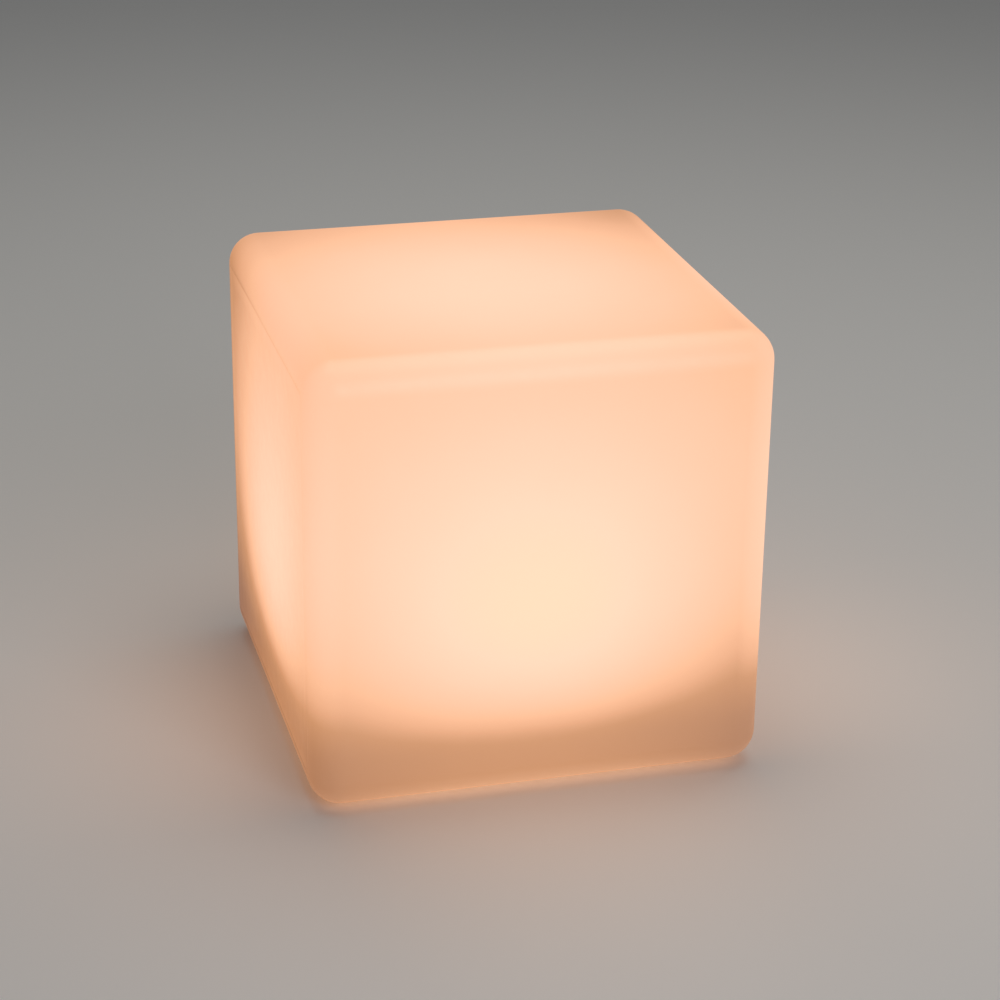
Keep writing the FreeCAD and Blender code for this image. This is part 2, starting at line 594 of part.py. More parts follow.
def draw_clip(drawing):
    """An E-clip: a ring open toward the back, so that it pushes on over the groove."""
    inside = "sqrt(clip_groove ^ 2 - clip_mouth ^ 2)"
    outside = "sqrt(clip_radius ^ 2 - clip_mouth ^ 2)"
    outline(drawing, [("-clip_mouth", inside), ("0", "-clip_groove"), ("clip_mouth", inside),
                      ("clip_mouth", outside), ("0", "-clip_radius"), ("-clip_mouth", outside)],
            arcs={0: "clip_groove", 1: "clip_groove", 3: "-clip_radius", 4: "-clip_radius"})


def make_switch():
    """The long-travel switch under the board and the plunger that the stem pushes."""
    switch = piece("tact_switch", "-port_across", "-port_back")
    pad(switch, "case", "switch_bottom", "board_bottom - switch_bottom",
        lambda drawing: block(drawing, "0", "0", "switch_side", "switch_side"))
    pocket(switch, "bore", "plunger_top + plunger_room", "plunger_top + plunger_room - switch_bottom",
           lambda drawing: circle(drawing, "0", "0", "plunger_bore"))
    turned(piece("tact_plunger", "-port_across", "-port_back"), "plunger", [
        ("0", "plunger_bottom"), ("plunger_radius", "plunger_bottom"),
        ("plunger_radius", "plunger_top"), ("0", "plunger_top")])


def make_indicator():
    """The status LED and the clear rod that brings its light down into the well."""
    turned(piece("light_pipe", "0", "-pipe_line"), "rod", [
        ("0", "plate_bottom - pipe_crown"), ("pipe_radius + pipe_lip", "plate_bottom"),
        ("pipe_radius", "plate_bottom"), ("pipe_radius", "pipe_top"), ("0", "pipe_top")],
        arcs={0: dome("pipe_radius + pipe_lip", "pipe_crown")})
    led = piece("status_led", "0", "-pipe_line")
    pad(led, "case", "pipe_top + status_gap", "board_bottom - pipe_top - status_gap",
        lambda drawing: block(drawing, "0", "0", "status_length", "status_width"))


def draw_board(drawing):
    """The control board: a round board cut off straight beside the battery, with screw holes."""
    reach = "sqrt(board_radius ^ 2 - board_chord ^ 2)"
    outline(drawing, [("-" + reach, "-board_chord"), (reach, "-board_chord"),
                      ("0", "-board_radius")],
            arcs={1: "-board_radius", 2: "-board_radius"})


def draw_terminal_slots(drawing):
    """Slots where the charging socket's terminals come up through the board."""
    for place in TERMINAL_PLACES:
        block(drawing, "port_across + " + place, "-port_back", "(terminal_width + 2 * slot_gap)",
              "(terminal_thickness + 2 * slot_gap)")


def make_control_board():
    """The control board on its three pillars, with its screws, parts, headers and plugs."""
    board_top = "board_bottom + board_thickness"
    board = piece("control_board")
    screws = piece("board_screws")
    pad(board, "board", "board_bottom", "board_thickness", draw_board)
    pocket(board, "terminal_slots", board_top, "board_thickness", draw_terminal_slots)
    for name, place in zip("abc", PILLAR_PLACES):
        pocket(board, "hole_" + name, board_top, "board_thickness",
               lambda drawing: circle(drawing, place, "-pillar_line", "pilot_radius + through_gap"))
        turned(screws, "screw_" + name, pan_outline(board_top, "board_screw", "pan_radius"),
               arcs=pan_crown("pan_radius"), axis=place)
    screws.setExpression("Placement.Base.y", cells("-pillar_line"))
    pad(piece("controller_chip"), "case", board_top, "chip_height", lambda drawing: block(
        drawing, "-chip_across", "-chip_back", "chip_length", "chip_width"))
    drivers = piece("led_drivers")
    for name, step in zip("abc", ("-driver_gap", "0", "driver_gap")):
        pad(drivers, "case_" + name, board_top, "driver_height", lambda drawing: block(
            drawing, "driver_across + " + step, "-driver_back", "driver_width", "driver_length"))
    pad(piece("power_inductor"), "case", board_top, "inductor_height", lambda drawing: block(
        drawing, "inductor_across", "-inductor_back", "inductor_side", "inductor_side"))
    can_top = board_top + " + capacitor_height"
    turned(piece("board_capacitor", "-capacitor_across", "-capacitor_back"), "can", [
        ("0", board_top), ("capacitor_radius", board_top),
        ("capacitor_radius", can_top + " - capacitor_edge"),
        ("capacitor_radius - capacitor_edge", can_top), ("0", can_top)])
    headers = piece("board_headers")
    plugs = piece("lead_plugs")
    for name, place in zip("ab", HEADER_PLACES):
        pad(headers, "shroud_" + name, board_top, "header_height",
            lambda drawing: draw_header(drawing, place))
        pad(plugs, "plug_" + name, board_top, "plug_height",
            lambda drawing: draw_plug(drawing, place, "(header_wall + plug_gap)"))


def draw_header(drawing, place):
    """A shrouded header with a slot for its plug."""
    draw_plug(drawing, place, "0")
    draw_plug(drawing, place, "header_wall")


def draw_plug(drawing, place, margin):
    """A rectangle inside the header's outline by a margin."""
    block(drawing, place, "-header_back", "(header_length - 2 * %s)" % margin,
          "(header_width - 2 * %s)" % margin)


def make_battery():
    """Two lithium cells side by side in a cradle, joined by nickel tabs and held by foam."""
    centre = "plate_top + cradle_floor + cell_radius"
    lines = ("-first_cell", "-first_cell + 2 * cell_radius + cell_gap")
    reach = "cell_length / 2"
    cradle = piece("battery_cradle")
    pad(cradle, "block", "plate_top", "cradle_height", draw_cradle)
    pocket(cradle, "troughs", reach + " + cradle_end_gap", "cell_length + 2 * cradle_end_gap",
           lambda drawing: draw_cells(drawing, lines, centre, "cell_radius + cradle_gap"),
           "YZ_Plane")
    cylinders = piece("battery_cells")
    pad(cylinders, "cans", "-" + reach, "cell_length - nub_length",
        lambda drawing: draw_cells(drawing, lines, centre, "cell_radius"), "YZ_Plane")
    pad(cylinders, "nubs", reach + " - nub_length", "nub_length",
        lambda drawing: draw_cells(drawing, lines, centre, "nub_radius"), "YZ_Plane")
    tabs = piece("cell_tabs")
    for name, place in (("left", "-%s - tab_thickness" % reach), ("right", reach)):
        pad(tabs, name, place, "tab_thickness",
            lambda drawing: rectangle(drawing, lines[0] + " - tab_width / 2",
                                      lines[1] + " + tab_width / 2",
                                      centre + " - tab_width / 2", centre + " + tab_width / 2"),
            "YZ_Plane")
    middle = "(%s + cell_radius + cell_gap / 2)" % lines[0]
    guard_bottom = centre + " + cell_radius + cradle_gap"
    pad(piece("protection_board"), "board", guard_bottom, "guard_thickness",
        lambda drawing: block(drawing, "0", middle, "guard_length", "guard_width"))
    foam_bottom = guard_bottom + " + guard_thickness"
    pad(piece("battery_foam"), "block", foam_bottom, "ledge_top - (%s)" % foam_bottom,
        lambda drawing: rectangle(drawing, "-foam_left", "foam_right",
                                  middle + " - foam_width / 2", middle + " + foam_width / 2"))


def draw_cells(drawing, lines, height, radius):
    for line in lines:
        circle(drawing, line, height, radius)


def draw_cradle(drawing):
    """The cradle's outline, its far corners cut to pass the ledge in the can."""
    side = "(cell_length / 2 + cradle_end_gap + cradle_wall)"
    front = "-first_cell - cell_radius - cradle_gap - cradle_wall"
    back = "(-first_cell + 3 * cell_radius + cell_gap + cradle_gap + cradle_wall)"
    outline(drawing, [("-" + side, front), (side, front), (side, back + " - cradle_cut_back"),
                      (side + " - cradle_cut_side", back), ("cradle_cut_side - " + side, back),
                      ("-" + side, back + " - cradle_cut_back")])


def make_light_engine():
    """The aluminium spreader on the can's ledge, the thermal pad and the LED board on top."""
    pad_bottom = "ledge_top + spreader_thickness"
    board_bottom = pad_bottom + " + pad_thickness"
    board_top = board_bottom + " + led_board_thickness"
    spreader = disc("heat_spreader", "spreader_radius", "ledge_top", "spreader_thickness",
                    "pilot_radius")
    hole = pocket(spreader, "lug_hole", pad_bottom, "spreader_thickness",
                  lambda drawing: circle(drawing, "0", "lug_line", "pilot_radius + through_gap"))
    around(spreader, [hole], "lug_count")
    disc("thermal_pad", "led_board_radius - pad_margin", pad_bottom, "pad_thickness",
         "pilot_radius + through_gap")
    disc("led_board", "led_board_radius", board_bottom, "led_board_thickness",
         "pilot_radius + through_gap")
    pan_screws("spreader_screws", "lug_line", pad_bottom, "spreader_screw", "lug_count")
    pan_screws("led_board_screws", "led_screw_line", board_top, "led_board_screw",
               "led_screw_count")
    doc.getObject("spreader_screws").Placement = Placement(
        Vector(), Rotation(Vector(0, 0, 1), QUARTER))
    make_leds(board_top)
    receiver = piece("ir_receiver")
    pad(receiver, "case", board_top, "receiver_height", lambda drawing: rectangle(
        drawing, "-receiver_width / 2", "receiver_width / 2", "-receiver_front", "receiver_rear"))
    pad(receiver, "window", board_top + " + window_bottom", "window_height",
        lambda drawing: circle(drawing, "0", "-receiver_front", "window_radius"))


def disc(label, radius, bottom, thickness, screw_hole):
    """A disc with a hole for the harness and three for the LED board's screws."""
    sheet = piece(label)
    top = "%s + %s" % (bottom, thickness)
    pad(sheet, "disc", bottom, thickness, lambda drawing: circle(drawing, "0", "0", radius))
    pocket(sheet, "wire_hole", top, thickness,
           lambda drawing: circle(drawing, "0", "-pipe_line", "wire_hole"))
    hole = pocket(sheet, "screw_hole", top, thickness,
                  lambda drawing: circle(drawing, "led_screw_line", "0", screw_hole))
    around(sheet, [hole], "led_screw_count")
    return sheet


def pan_outline(seat, length, head):
    """Half of a pan-head screw: its head stands on seat and its shank goes down by length."""
    shank = "pilot_radius - pilot_gap"
    side = seat + " + pan_side"
    return [("0", "%s - %s" % (seat, length)), (shank, "%s - %s" % (seat, length)), (shank, seat),
            (head, seat), (head + " - pan_taper", side), ("0", side + " + pan_crown")]


def pan_crown(head):
    """The arc over a pan head, as an outline's arcs."""
    return {4: dome(head + " - pan_taper", "pan_crown")}


def pan_screws(label, line, seat, length, count, head="pan_radius"):
    """Pan-head screws on a circle, driven down from seat, each with a cross recess."""
    screws = piece(label)
    shape = turned(screws, "screw", pan_outline(seat, length, head), pan_crown(head), line)
    top = seat + " + pan_side + pan_crown"
    drive = pocket(screws, "cross", top, "cross_depth + pan_crown",
                   lambda drawing: draw_cross(drawing, line, "0", "cross_half", "cross_reach"))
    around(screws, [shape, drive], count)


def draw_cross(drawing, across, back, half, reach):
    """The outline of a cross recess."""
    signs = ((1, 1), (-1, 1), (-1, -1), (1, -1))
    corners = []
    for index, (side, end) in enumerate(signs):
        arm = [(half, reach), (half, half), (reach, half)]
        if index % 2 == 0:
            arm.reverse()
        corners += [("%s + %d * %s" % (across, side, out), "%s + %d * %s" % (back, end, up))
                    for out, up in arm]
    outline(drawing, corners)


def make_leds(board_top):
    """Two rings of LED packages, each with a round cup full of phosphor."""
    packages = piece("led_packages", turn="180 / led_outer_count")
    phosphor = piece("led_phosphor", turn="180 / led_outer_count")
    floor = board_top + " + led_height - led_cup_depth"
    for ring_name in ("outer", "inner"):
        line = "led_%s_line" % ring_name
        count = "led_%s_count" % ring_name
        case = pad(packages, ring_name, board_top, "led_height", lambda drawing: rectangle(
            drawing, line + " - led_side / 2", line + " + led_side / 2",
            "-led_side / 2", "led_side / 2"))
        cup = pocket(packages, ring_name + "_cup", board_top + " + led_height", "led_cup_depth",
                     lambda drawing: circle(drawing, line, "0", "led_cup"))
        around(packages, [case, cup], count)
        drop = pad(phosphor, ring_name, floor, "led_cup_depth",
                   lambda drawing: circle(drawing, line, "0", "led_cup"))
        around(phosphor, [drop], count)


def make_lens():
    """The frosted dome, its O-ring, and the ring and screws that clamp it to the can's rim."""
    flange_top = "rim_top + lens_flange"
    bore = "dome_radius - dome_wall"
    lens = piece("lens")
    turned(lens, "dome", [
        (bore, "rim_top"), ("lens_radius", "rim_top"), ("lens_radius", flange_top),
        ("dome_radius", flange_top), ("0", flange_top + " + dome_rise"),
        ("0", "rim_top + dome_rise")],
        arcs={3: dome("dome_radius", "dome_rise"), 5: "-" + dome(bore, "dome_rise")})
    hole = pocket(lens, "screw_hole", flange_top, "lens_flange",
                  lambda drawing: circle(drawing, "lens_screw_line", "0", "lens_screw_clear"))
    around(lens, [hole], "lens_screw_count")
    section = "groove_depth / 2"
    ring("lens_oring", "(groove_inner + groove_outer) / 2", "rim_top - " + section, section)
    clamp_top = flange_top + " + clamp_height"
    clamp = piece("lens_ring")
    turned(clamp, "ring", [
        ("clamp_inner", flange_top), ("rim_radius", flange_top),
        ("rim_radius", clamp_top + " - clamp_chamfer"), ("rim_radius - clamp_chamfer", clamp_top),
        ("clamp_inner", clamp_top)])
    hole = pocket(clamp, "screw_hole", clamp_top, "clamp_height",
                  lambda drawing: circle(drawing, "lens_screw_line", "0", "lens_screw_clear"))
    around(clamp, [hole], "lens_screw_count")
    pan_screws("lens_screws", "lens_screw_line", clamp_top, "lens_screw", "lens_screw_count",
               "lens_pan_radius")


def lead(label, radius, corners, bend):
    """A wire: straight runs joined by tangent arcs, swept from a round section."""
    places = [Vector(*(mm(text) for text in corner)) for corner in corners]
    bend = mm(bend)
    edges = []
    start = places[0]
    for before, corner, after in zip(places, places[1:], places[2:]):
        come = (corner - before).normalize()
        leave = (after - corner).normalize()
        turn = come.getAngle(leave)
        back_off = bend * math.tan(turn / 2)
        first = corner - come * back_off
        last = corner + leave * back_off
        inward = (leave - come).normalize()
        middle = corner + inward * (bend / math.cos(turn / 2) - bend)
        edges.append(Part.LineSegment(start, first).toShape())
        edges.append(Part.Arc(first, middle, last).toShape())
        start = last
    edges.append(Part.LineSegment(start, places[-1]).toShape())
    path = Part.Wire(edges)
    section = Part.Wire(Part.makeCircle(mm(radius), places[0], places[1] - places[0]))
    wire = doc.addObject("Part::Feature", label)
    wire.Label = label
    wire.Shape = path.makePipeShell([section], True, True)
    pieces.append(wire)


def make_leads():
    """The battery's two leads and the LED board's sleeved harness, all inside the can."""
    plug_top = "board_bottom + board_thickness + plug_height"
    start = "plate_top + cradle_floor + 2 * cell_radius + cradle_gap + guard_thickness"
    for name, side in (("red", "-"), ("black", "+")):
        near = name + "_across"
        over = name + "_height"
        end = "-header_left %s lead_gap" % side
        lead("battery_lead_" + name, "lead_radius", [
            (near, "lead_start", start), (near, "lead_start", over), (near, "-lead_drop", over),
            (end, "-header_back", over), (end, "-header_back", plug_top)], "lead_bend")
    board_top = "ledge_top + spreader_thickness + pad_thickness + led_board_thickness"
    lead("led_harness", "harness_radius", [
        ("header_right", "-header_back", plug_top),
        ("header_right", "-header_back", "harness_height"), ("0", "-pipe_line", "harness_height"),
        ("0", "-pipe_line", board_top)], "harness_bend")


def check_document():
    """Stop with the name of any object that failed, and of any sub-part without a sound shape."""
    doc.recompute()
    failed = ["%s is %s" % (item.Name, item.State) for item in doc.Objects
              if "Invalid" in item.State or "Error" in item.State]
    failed += ["%s has no sound shape" % item.Label for item in pieces
               if item.Shape.isNull() or not item.Shape.isValid() or not item.Shape.Solids]
    if failed:
        raise RuntimeError("\n".join(failed))


def write_steps():
    os.makedirs("parts", exist_ok=True)
    for item in pieces:
        item.Shape.exportStep("parts/%s.step" % item.Label)
        print("%-22s %3d solids %12.1f mm3" % (item.Label, len(item.Shape.Solids),
                                               item.Shape.Volume))


for make in (make_shell, make_feet, make_inserts, make_gasket, make_module_body,
             make_module_screws, make_label, make_charge_socket, make_port_cap,
             make_power_button, make_switch, make_indicator, make_control_board, make_battery,
             make_light_engine, make_lens, make_leads):
    make()
check_document()
write_steps()
print("%d sub-parts" % len(pieces))
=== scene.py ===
import json
import math

import bmesh
import bpy
from mathutils import Matrix, Vector


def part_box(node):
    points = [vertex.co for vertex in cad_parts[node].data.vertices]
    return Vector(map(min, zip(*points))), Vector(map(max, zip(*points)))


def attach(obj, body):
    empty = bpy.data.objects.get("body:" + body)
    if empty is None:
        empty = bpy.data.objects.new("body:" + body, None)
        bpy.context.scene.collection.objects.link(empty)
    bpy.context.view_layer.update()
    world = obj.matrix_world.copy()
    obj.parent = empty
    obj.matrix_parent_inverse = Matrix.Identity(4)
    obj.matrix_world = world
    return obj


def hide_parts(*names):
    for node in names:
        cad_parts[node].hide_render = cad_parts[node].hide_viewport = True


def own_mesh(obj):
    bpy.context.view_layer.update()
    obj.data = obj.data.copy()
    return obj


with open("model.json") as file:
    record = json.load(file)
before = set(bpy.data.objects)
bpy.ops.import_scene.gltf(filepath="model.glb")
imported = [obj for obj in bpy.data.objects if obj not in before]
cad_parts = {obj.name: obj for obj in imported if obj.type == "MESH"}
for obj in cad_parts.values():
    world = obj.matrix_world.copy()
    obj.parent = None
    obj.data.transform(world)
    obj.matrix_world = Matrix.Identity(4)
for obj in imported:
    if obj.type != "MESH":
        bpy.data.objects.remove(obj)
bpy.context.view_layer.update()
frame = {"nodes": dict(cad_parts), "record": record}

MM = 0.001


# ---------------------------------------------------------------- sizes, read from the frame

cube_low, cube_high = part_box("shell")
HALF = (cube_high.x - cube_low.x) / 2
MIDDLE = (cube_low + cube_high) / 2
ROUNDING = 28 * MM
WALL = 4 * MM
ROUNDING_STEPS = 12
INNER_STEPS = 6
SKIN_CUTS = 23
INNER_CUTS = 3
SINK = 0.45 * MM
WAVE = 0.18 * MM
GROOVE_SIDE = 0.8 * MM
GROOVE_DEPTH = 0.3 * MM
WELD = 0.001 * MM
TOUCH = 0.01 * MM
# the bevel's middle row lies up to 0.03 mm inside the wall, and its outer rows 0.8 mm to each side
NEAR = 0.1 * MM

gasket_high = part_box("module_gasket")[1]
insert_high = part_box("threaded_inserts")[1]
feet_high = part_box("rubber_feet")[1]
RECESS = 95 * MM
RECESS_ROLL = 4 * MM
ROLL_STEPS = 6
ROOF = gasket_high.z
OPENING = 53 * MM
INSERT = 2.8 * MM
FIXINGS = 8
FIXING_LINE = insert_high.x - INSERT
BOSS = 7 * MM
BOSS_RISE = 11 * MM
FOOT = 14 * MM
FOOT_PLACE = feet_high.x - FOOT + 0.1 * MM
SEAT_RISE = feet_high.z - cube_low.z
DISH = 0.5 * MM
RIB = 1.6 * MM
RIBS = 4
button_low, button_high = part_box("power_button")
MARK = 2.2 * MM
MARK_LINE = 0.3 * MM
MARK_RISE = 0.15 * MM
MARK_GAP = 38


# ---------------------------------------------------------------- the shell

def grow_block(bm, middle, half, rounding, steps, cuts):
    """A cube with every edge rounded and an evenly cut skin, open at the bottom."""
    made = bmesh.ops.create_cube(bm, size=2 * half, matrix=Matrix.Translation(middle))
    edges = {edge for vert in made["verts"] for edge in vert.link_edges}
    rounded = bmesh.ops.bevel(bm, geom=list(edges), offset=rounding, segments=steps,
                              profile=0.5, affect="EDGES", material=-1)
    verts = {vert for vert in rounded["verts"]} | {v for v in made["verts"] if v.is_valid}
    faces = {face for vert in verts for face in vert.link_faces}
    below = [face for face in faces if face.normal.z < -0.999 and face.calc_area() > half * half]
    bmesh.ops.delete(bm, geom=below, context="FACES_ONLY")
    edges = {edge for vert in verts if vert.is_valid for edge in vert.link_edges}
    straight = 2 * (half - rounding)
    long_edges = [edge for edge in edges if abs(edge.calc_length() - straight) < MM]
    bmesh.ops.subdivide_edges(bm, edges=long_edges, cuts=cuts, use_grid_fill=True)


def loop_at(bm, radius, place, height, count):
    """A loose circle of edges at a place in the plane."""
    made = bmesh.ops.create_circle(bm, segments=count, radius=radius,
                                   matrix=Matrix.Translation((place[0], place[1], height)))
    return list({edge for vert in made["verts"] for edge in vert.link_edges})


def raise_loop(bm, loop, rise):
    """Extrude a loop straight up or down and give back the loop at its far end."""
    made = bmesh.ops.extrude_edge_only(bm, edges=loop)["geom"]
    verts = [item for item in made if isinstance(item, bmesh.types.BMVert)]
    bmesh.ops.translate(bm, verts=verts, vec=(0, 0, rise))
    return [item for item in made if isinstance(item, bmesh.types.BMEdge)
            and all(vert in verts for vert in item.verts)]


def roll_loop(bm, loop, out, radius, level_first):
    """Carry a centred loop inward and up round a quarter of a circle, level or upright first."""
    before = out
    height = 0
    for step in range(1, ROLL_STEPS + 1):
        turn = math.radians(90 * step / ROLL_STEPS)
        shares = [math.sin(turn), 1 - math.cos(turn)]
        inward, up = shares if level_first else reversed(shares)
        loop = raise_loop(bm, loop, radius * up - height)
        verts = list({vert for edge in loop for vert in edge.verts})
        scale = (out - radius * inward) / before
        bmesh.ops.scale(bm, verts=verts, vec=(scale, scale, 1))
        before *= scale
        height = radius * up
    return loop


def blind_hole(bm, loop, rise):
    """A pocket or boss: the loop goes up or down by rise and is closed."""
    bmesh.ops.edgeloop_fill(bm, edges=raise_loop(bm, loop, rise))


def rim_edges(bm, height):
    """The open square edge that a block leaves at a height."""
    return [edge for edge in bm.edges
            if edge.is_boundary and all(abs(vert.co.z - height) < TOUCH for vert in edge.verts)]


def fill_between(bm, loops):
    """A flat sheet whose outer edge and holes are the loops."""
    bmesh.ops.triangle_fill(bm, edges=[edge for loop in loops for edge in loop],
                            use_beauty=True, use_dissolve=False)


def ring_places(radius, count):
    return [(radius * math.cos(math.tau * step / count), radius * math.sin(math.tau * step / count))
            for step in range(count)]


FOOT_PLACES = [(x * FOOT_PLACE, y * FOOT_PLACE) for x in (-1, 1) for y in (-1, 1)]


def on_parting(vert):
    """Whether a point lies on the border of the left wall, where the mould's door closes."""
    local = vert.co - MIDDLE
    reach = max(abs(local.y), abs(local.z))
    return abs(local.x + HALF) < NEAR and abs(reach - HALF + ROUNDING) < NEAR


def cut_parting(bm):
    """The fine groove that the mould's parting leaves round the left wall."""
    edges = [edge for edge in bm.edges if all(on_parting(vert) for vert in edge.verts)]
    bmesh.ops.bevel(bm, geom=edges, offset=GROOVE_SIDE, segments=2, profile=0.5, affect="EDGES",
                    material=-1)
    bm.normal_update()
    mark = bm.verts.layers.float.new("seam")
    for vert in bm.verts:
        if on_parting(vert):
            vert[mark] = 1.0
            vert.co -= vert.normal * GROOVE_DEPTH


def settle_skin(bm):
    """The slow unevenness of a skin that cools without pressure against its mould."""
    for vert in bm.verts:
        local = (vert.co - MIDDLE) / HALF
        inset = [1 - value * value for value in local]
        dish = max(inset[0] * inset[1], inset[1] * inset[2], inset[0] * inset[2], 0)
        dish *= min(5 * (local.z + 1), 1)
        wave = (math.sin(5.1 * local.x + 2.3 * local.z + 0.7) * math.sin(4.3 * local.z - 1.1)
                + math.sin(6.7 * local.y - 3.1 * local.x) * math.cos(3.7 * local.z + 2.0 * local.y))
        vert.co -= vert.normal * dish * (SINK + WAVE * wave)


def make_shell():
    """The rotomoulded cube: outer skin, underside with its recess and seats, and inner skin."""
    bm = bmesh.new()
    grow_block(bm, MIDDLE, HALF, ROUNDING, ROUNDING_STEPS, SKIN_CUTS)
    cut_parting(bm)
    settle_skin(bm)
    under = rim_edges(bm, cube_low.z)
    grow_block(bm, MIDDLE, HALF - WALL, ROUNDING - WALL, INNER_STEPS, INNER_CUTS)
    floor = cube_low.z + WALL
    inner = rim_edges(bm, floor)

    recess = loop_at(bm, RECESS + RECESS_ROLL, (0, 0), cube_low.z, 128)
    seats = [loop_at(bm, FOOT, place, cube_low.z, 40) for place in FOOT_PLACES]
    fill_between(bm, [under, recess] + seats)
    for seat in seats:
        blind_hole(bm, seat, SEAT_RISE)

    wall = roll_loop(bm, recess, RECESS + RECESS_ROLL, RECESS_ROLL, True)
    wall = raise_loop(bm, wall, ROOF - cube_low.z - 2 * RECESS_ROLL)
    recess_top = roll_loop(bm, wall, RECESS, RECESS_ROLL, False)
    opening = loop_at(bm, OPENING, (0, 0), ROOF, 96)
    holes = [loop_at(bm, INSERT, place, ROOF, 20) for place in ring_places(FIXING_LINE, FIXINGS)]
    fill_between(bm, [recess_top, opening] + holes)
    for hole in holes:
        blind_hole(bm, hole, insert_high.z - ROOF)

    opening_top = raise_loop(bm, opening, WALL)
    hat = loop_at(bm, RECESS + WALL, (0, 0), ROOF + WALL, 128)
    bosses = [loop_at(bm, BOSS, place, ROOF + WALL, 32)
              for place in ring_places(FIXING_LINE, FIXINGS)]
    fill_between(bm, [opening_top, hat] + bosses)
    for boss in bosses:
        blind_hole(bm, boss, BOSS_RISE)

    hat_foot = raise_loop(bm, hat, floor - ROOF - WALL)
    pads = [loop_at(bm, FOOT + WALL, place, floor, 40) for place in FOOT_PLACES]
    fill_between(bm, [inner, hat_foot] + pads)
    for pad in pads:
        blind_hole(bm, pad, SEAT_RISE)

    bmesh.ops.remove_doubles(bm, verts=bm.verts[:], dist=WELD)
    bmesh.ops.recalc_face_normals(bm, faces=bm.faces[:])
    return finish_piece(bm, "cube_shell", sharp=30)


def spin_round(bm, profile, place, count):
    """Turn a profile of radius and height points about the upright axis at a place."""
    verts = [bm.verts.new((place[0] + radius, place[1], height)) for radius, height in profile]
    edges = [bm.edges.new(pair) for pair in zip(verts, verts[1:])]
    bmesh.ops.spin(bm, geom=verts + edges, cent=(place[0], place[1], 0), axis=(0, 0, 1),
                   angle=math.tau, steps=count, use_merge=True)


def make_feet():
    """Four rubber feet with a rolled edge, a dished middle and raised grip rings."""
    bm = bmesh.new()
    radius = feet_high.x - FOOT_PLACE
    profile = [(0, DISH), (radius - (RIBS + 0.5) * RIB, DISH)]
    for step in range(RIBS):
        inner = radius - (RIBS + 0.3 - step) * RIB
        profile += [(inner, 0), (inner + 0.6 * RIB, 0)]
        if step < RIBS - 1:
            profile.append((inner + 0.8 * RIB, DISH))
    profile += [(radius - 0.2 * RIB, 0.15 * RIB), (radius, 0.5 * RIB), (radius, feet_high.z),
                (0, feet_high.z)]
    for place in FOOT_PLACES:
        spin_round(bm, profile, place, 48)
    bmesh.ops.remove_doubles(bm, verts=bm.verts[:], dist=WELD)
    bmesh.ops.recalc_face_normals(bm, faces=bm.faces[:])
    return finish_piece(bm, "foot_pads", sharp=40)


def make_return_spring():
    """The button's coil spring as one merged mesh."""
    bm = bmesh.new()
    bm.from_mesh(frame["nodes"]["button_spring"].data)
    bmesh.ops.remove_doubles(bm, verts=bm.verts[:], dist=WELD)
    return finish_piece(bm, "return_spring", sharp=40)


def make_power_mark():
    """The raised power mark on the button's face: a ring with a gap, and a bar through the gap."""
    bm = bmesh.new()
    middle = (button_low + button_high) / 2
    face = button_low.z
    section = [(MARK - MARK_LINE, face), (MARK - MARK_LINE, face - MARK_RISE),
               (MARK + MARK_LINE, face - MARK_RISE), (MARK + MARK_LINE, face)]
    start = Matrix.Rotation(math.radians(90 + MARK_GAP), 3, "Z")
    verts = [bm.verts.new(start @ Vector((radius, 0, height))) for radius, height in section]
    first = bm.faces.new(verts)
    bmesh.ops.spin(bm, geom=[first], axis=(0, 0, 1), steps=40,
                   angle=math.radians(360 - 2 * MARK_GAP))
    bar = bmesh.ops.create_cube(bm, size=1)["verts"]
    bmesh.ops.scale(bm, verts=bar, vec=(2 * MARK_LINE, MARK, MARK_RISE))
    bmesh.ops.translate(bm, verts=bar, vec=(0, MARK, face - MARK_RISE / 2))
    bmesh.ops.translate(bm, verts=bm.verts[:], vec=(middle.x, middle.y, 0))
    bmesh.ops.recalc_face_normals(bm, faces=bm.faces[:])
    return finish_piece(bm, "power_mark", sharp=40)


def finish_piece(bm, name, sharp):
    """Turn a bmesh into a smooth-shaded piece whose edges stay crisp past an angle in degrees."""
    mesh = bpy.data.meshes.new(name)
    bm.to_mesh(mesh)
    bm.free()
    mesh.polygons.foreach_set("use_smooth", [True] * len(mesh.polygons))
    mesh.set_sharp_from_angle(angle=math.radians(sharp))
    piece = bpy.data.objects.new(name, mesh)
    bpy.context.scene.collection.objects.link(piece)
    return piece


# ---------------------------------------------------------------- materials

def linear(code):
    """An sRGB hex colour as linear red, green, blue and 1."""
    values = [int(code[place:place + 2], 16) / 255 for place in (1, 3, 5)]
    return [value / 12.92 if value <= 0.04045 else ((value + 0.055) / 1.055) ** 2.4
            for value in values] + [1.0]


def add(tree, kind, settings=None, inputs=None, stops=()):
    """Add a node with its settings and ramp stops, and give each input a value or a link."""
    node = tree.nodes.new(kind)
    for name, value in (settings or {}).items():
        setattr(node, name, value)
    for index, (position, code) in enumerate(stops):
        elements = node.color_ramp.elements
        element = elements[index] if index < 2 else elements.new(position)
        element.position = position
        element.color = linear(code)
    for name, value in (inputs or {}).items():
        if isinstance(value, bpy.types.Node):
            value = next(socket for socket in value.outputs if socket.enabled)
        if isinstance(value, bpy.types.NodeSocket):
            tree.links.new(value, node.inputs[name])
        else:
            node.inputs[name].default_value = value
    return node


def start_material(name):
    """An empty material: its tree and the Object coordinates that its patterns follow."""
    material = bpy.data.materials.new(name)
    material.use_nodes = True
    material.node_tree.nodes.clear()
    place = add(material.node_tree, "ShaderNodeTexCoord")
    return material, material.node_tree, place.outputs["Object"], place.outputs["Normal"]


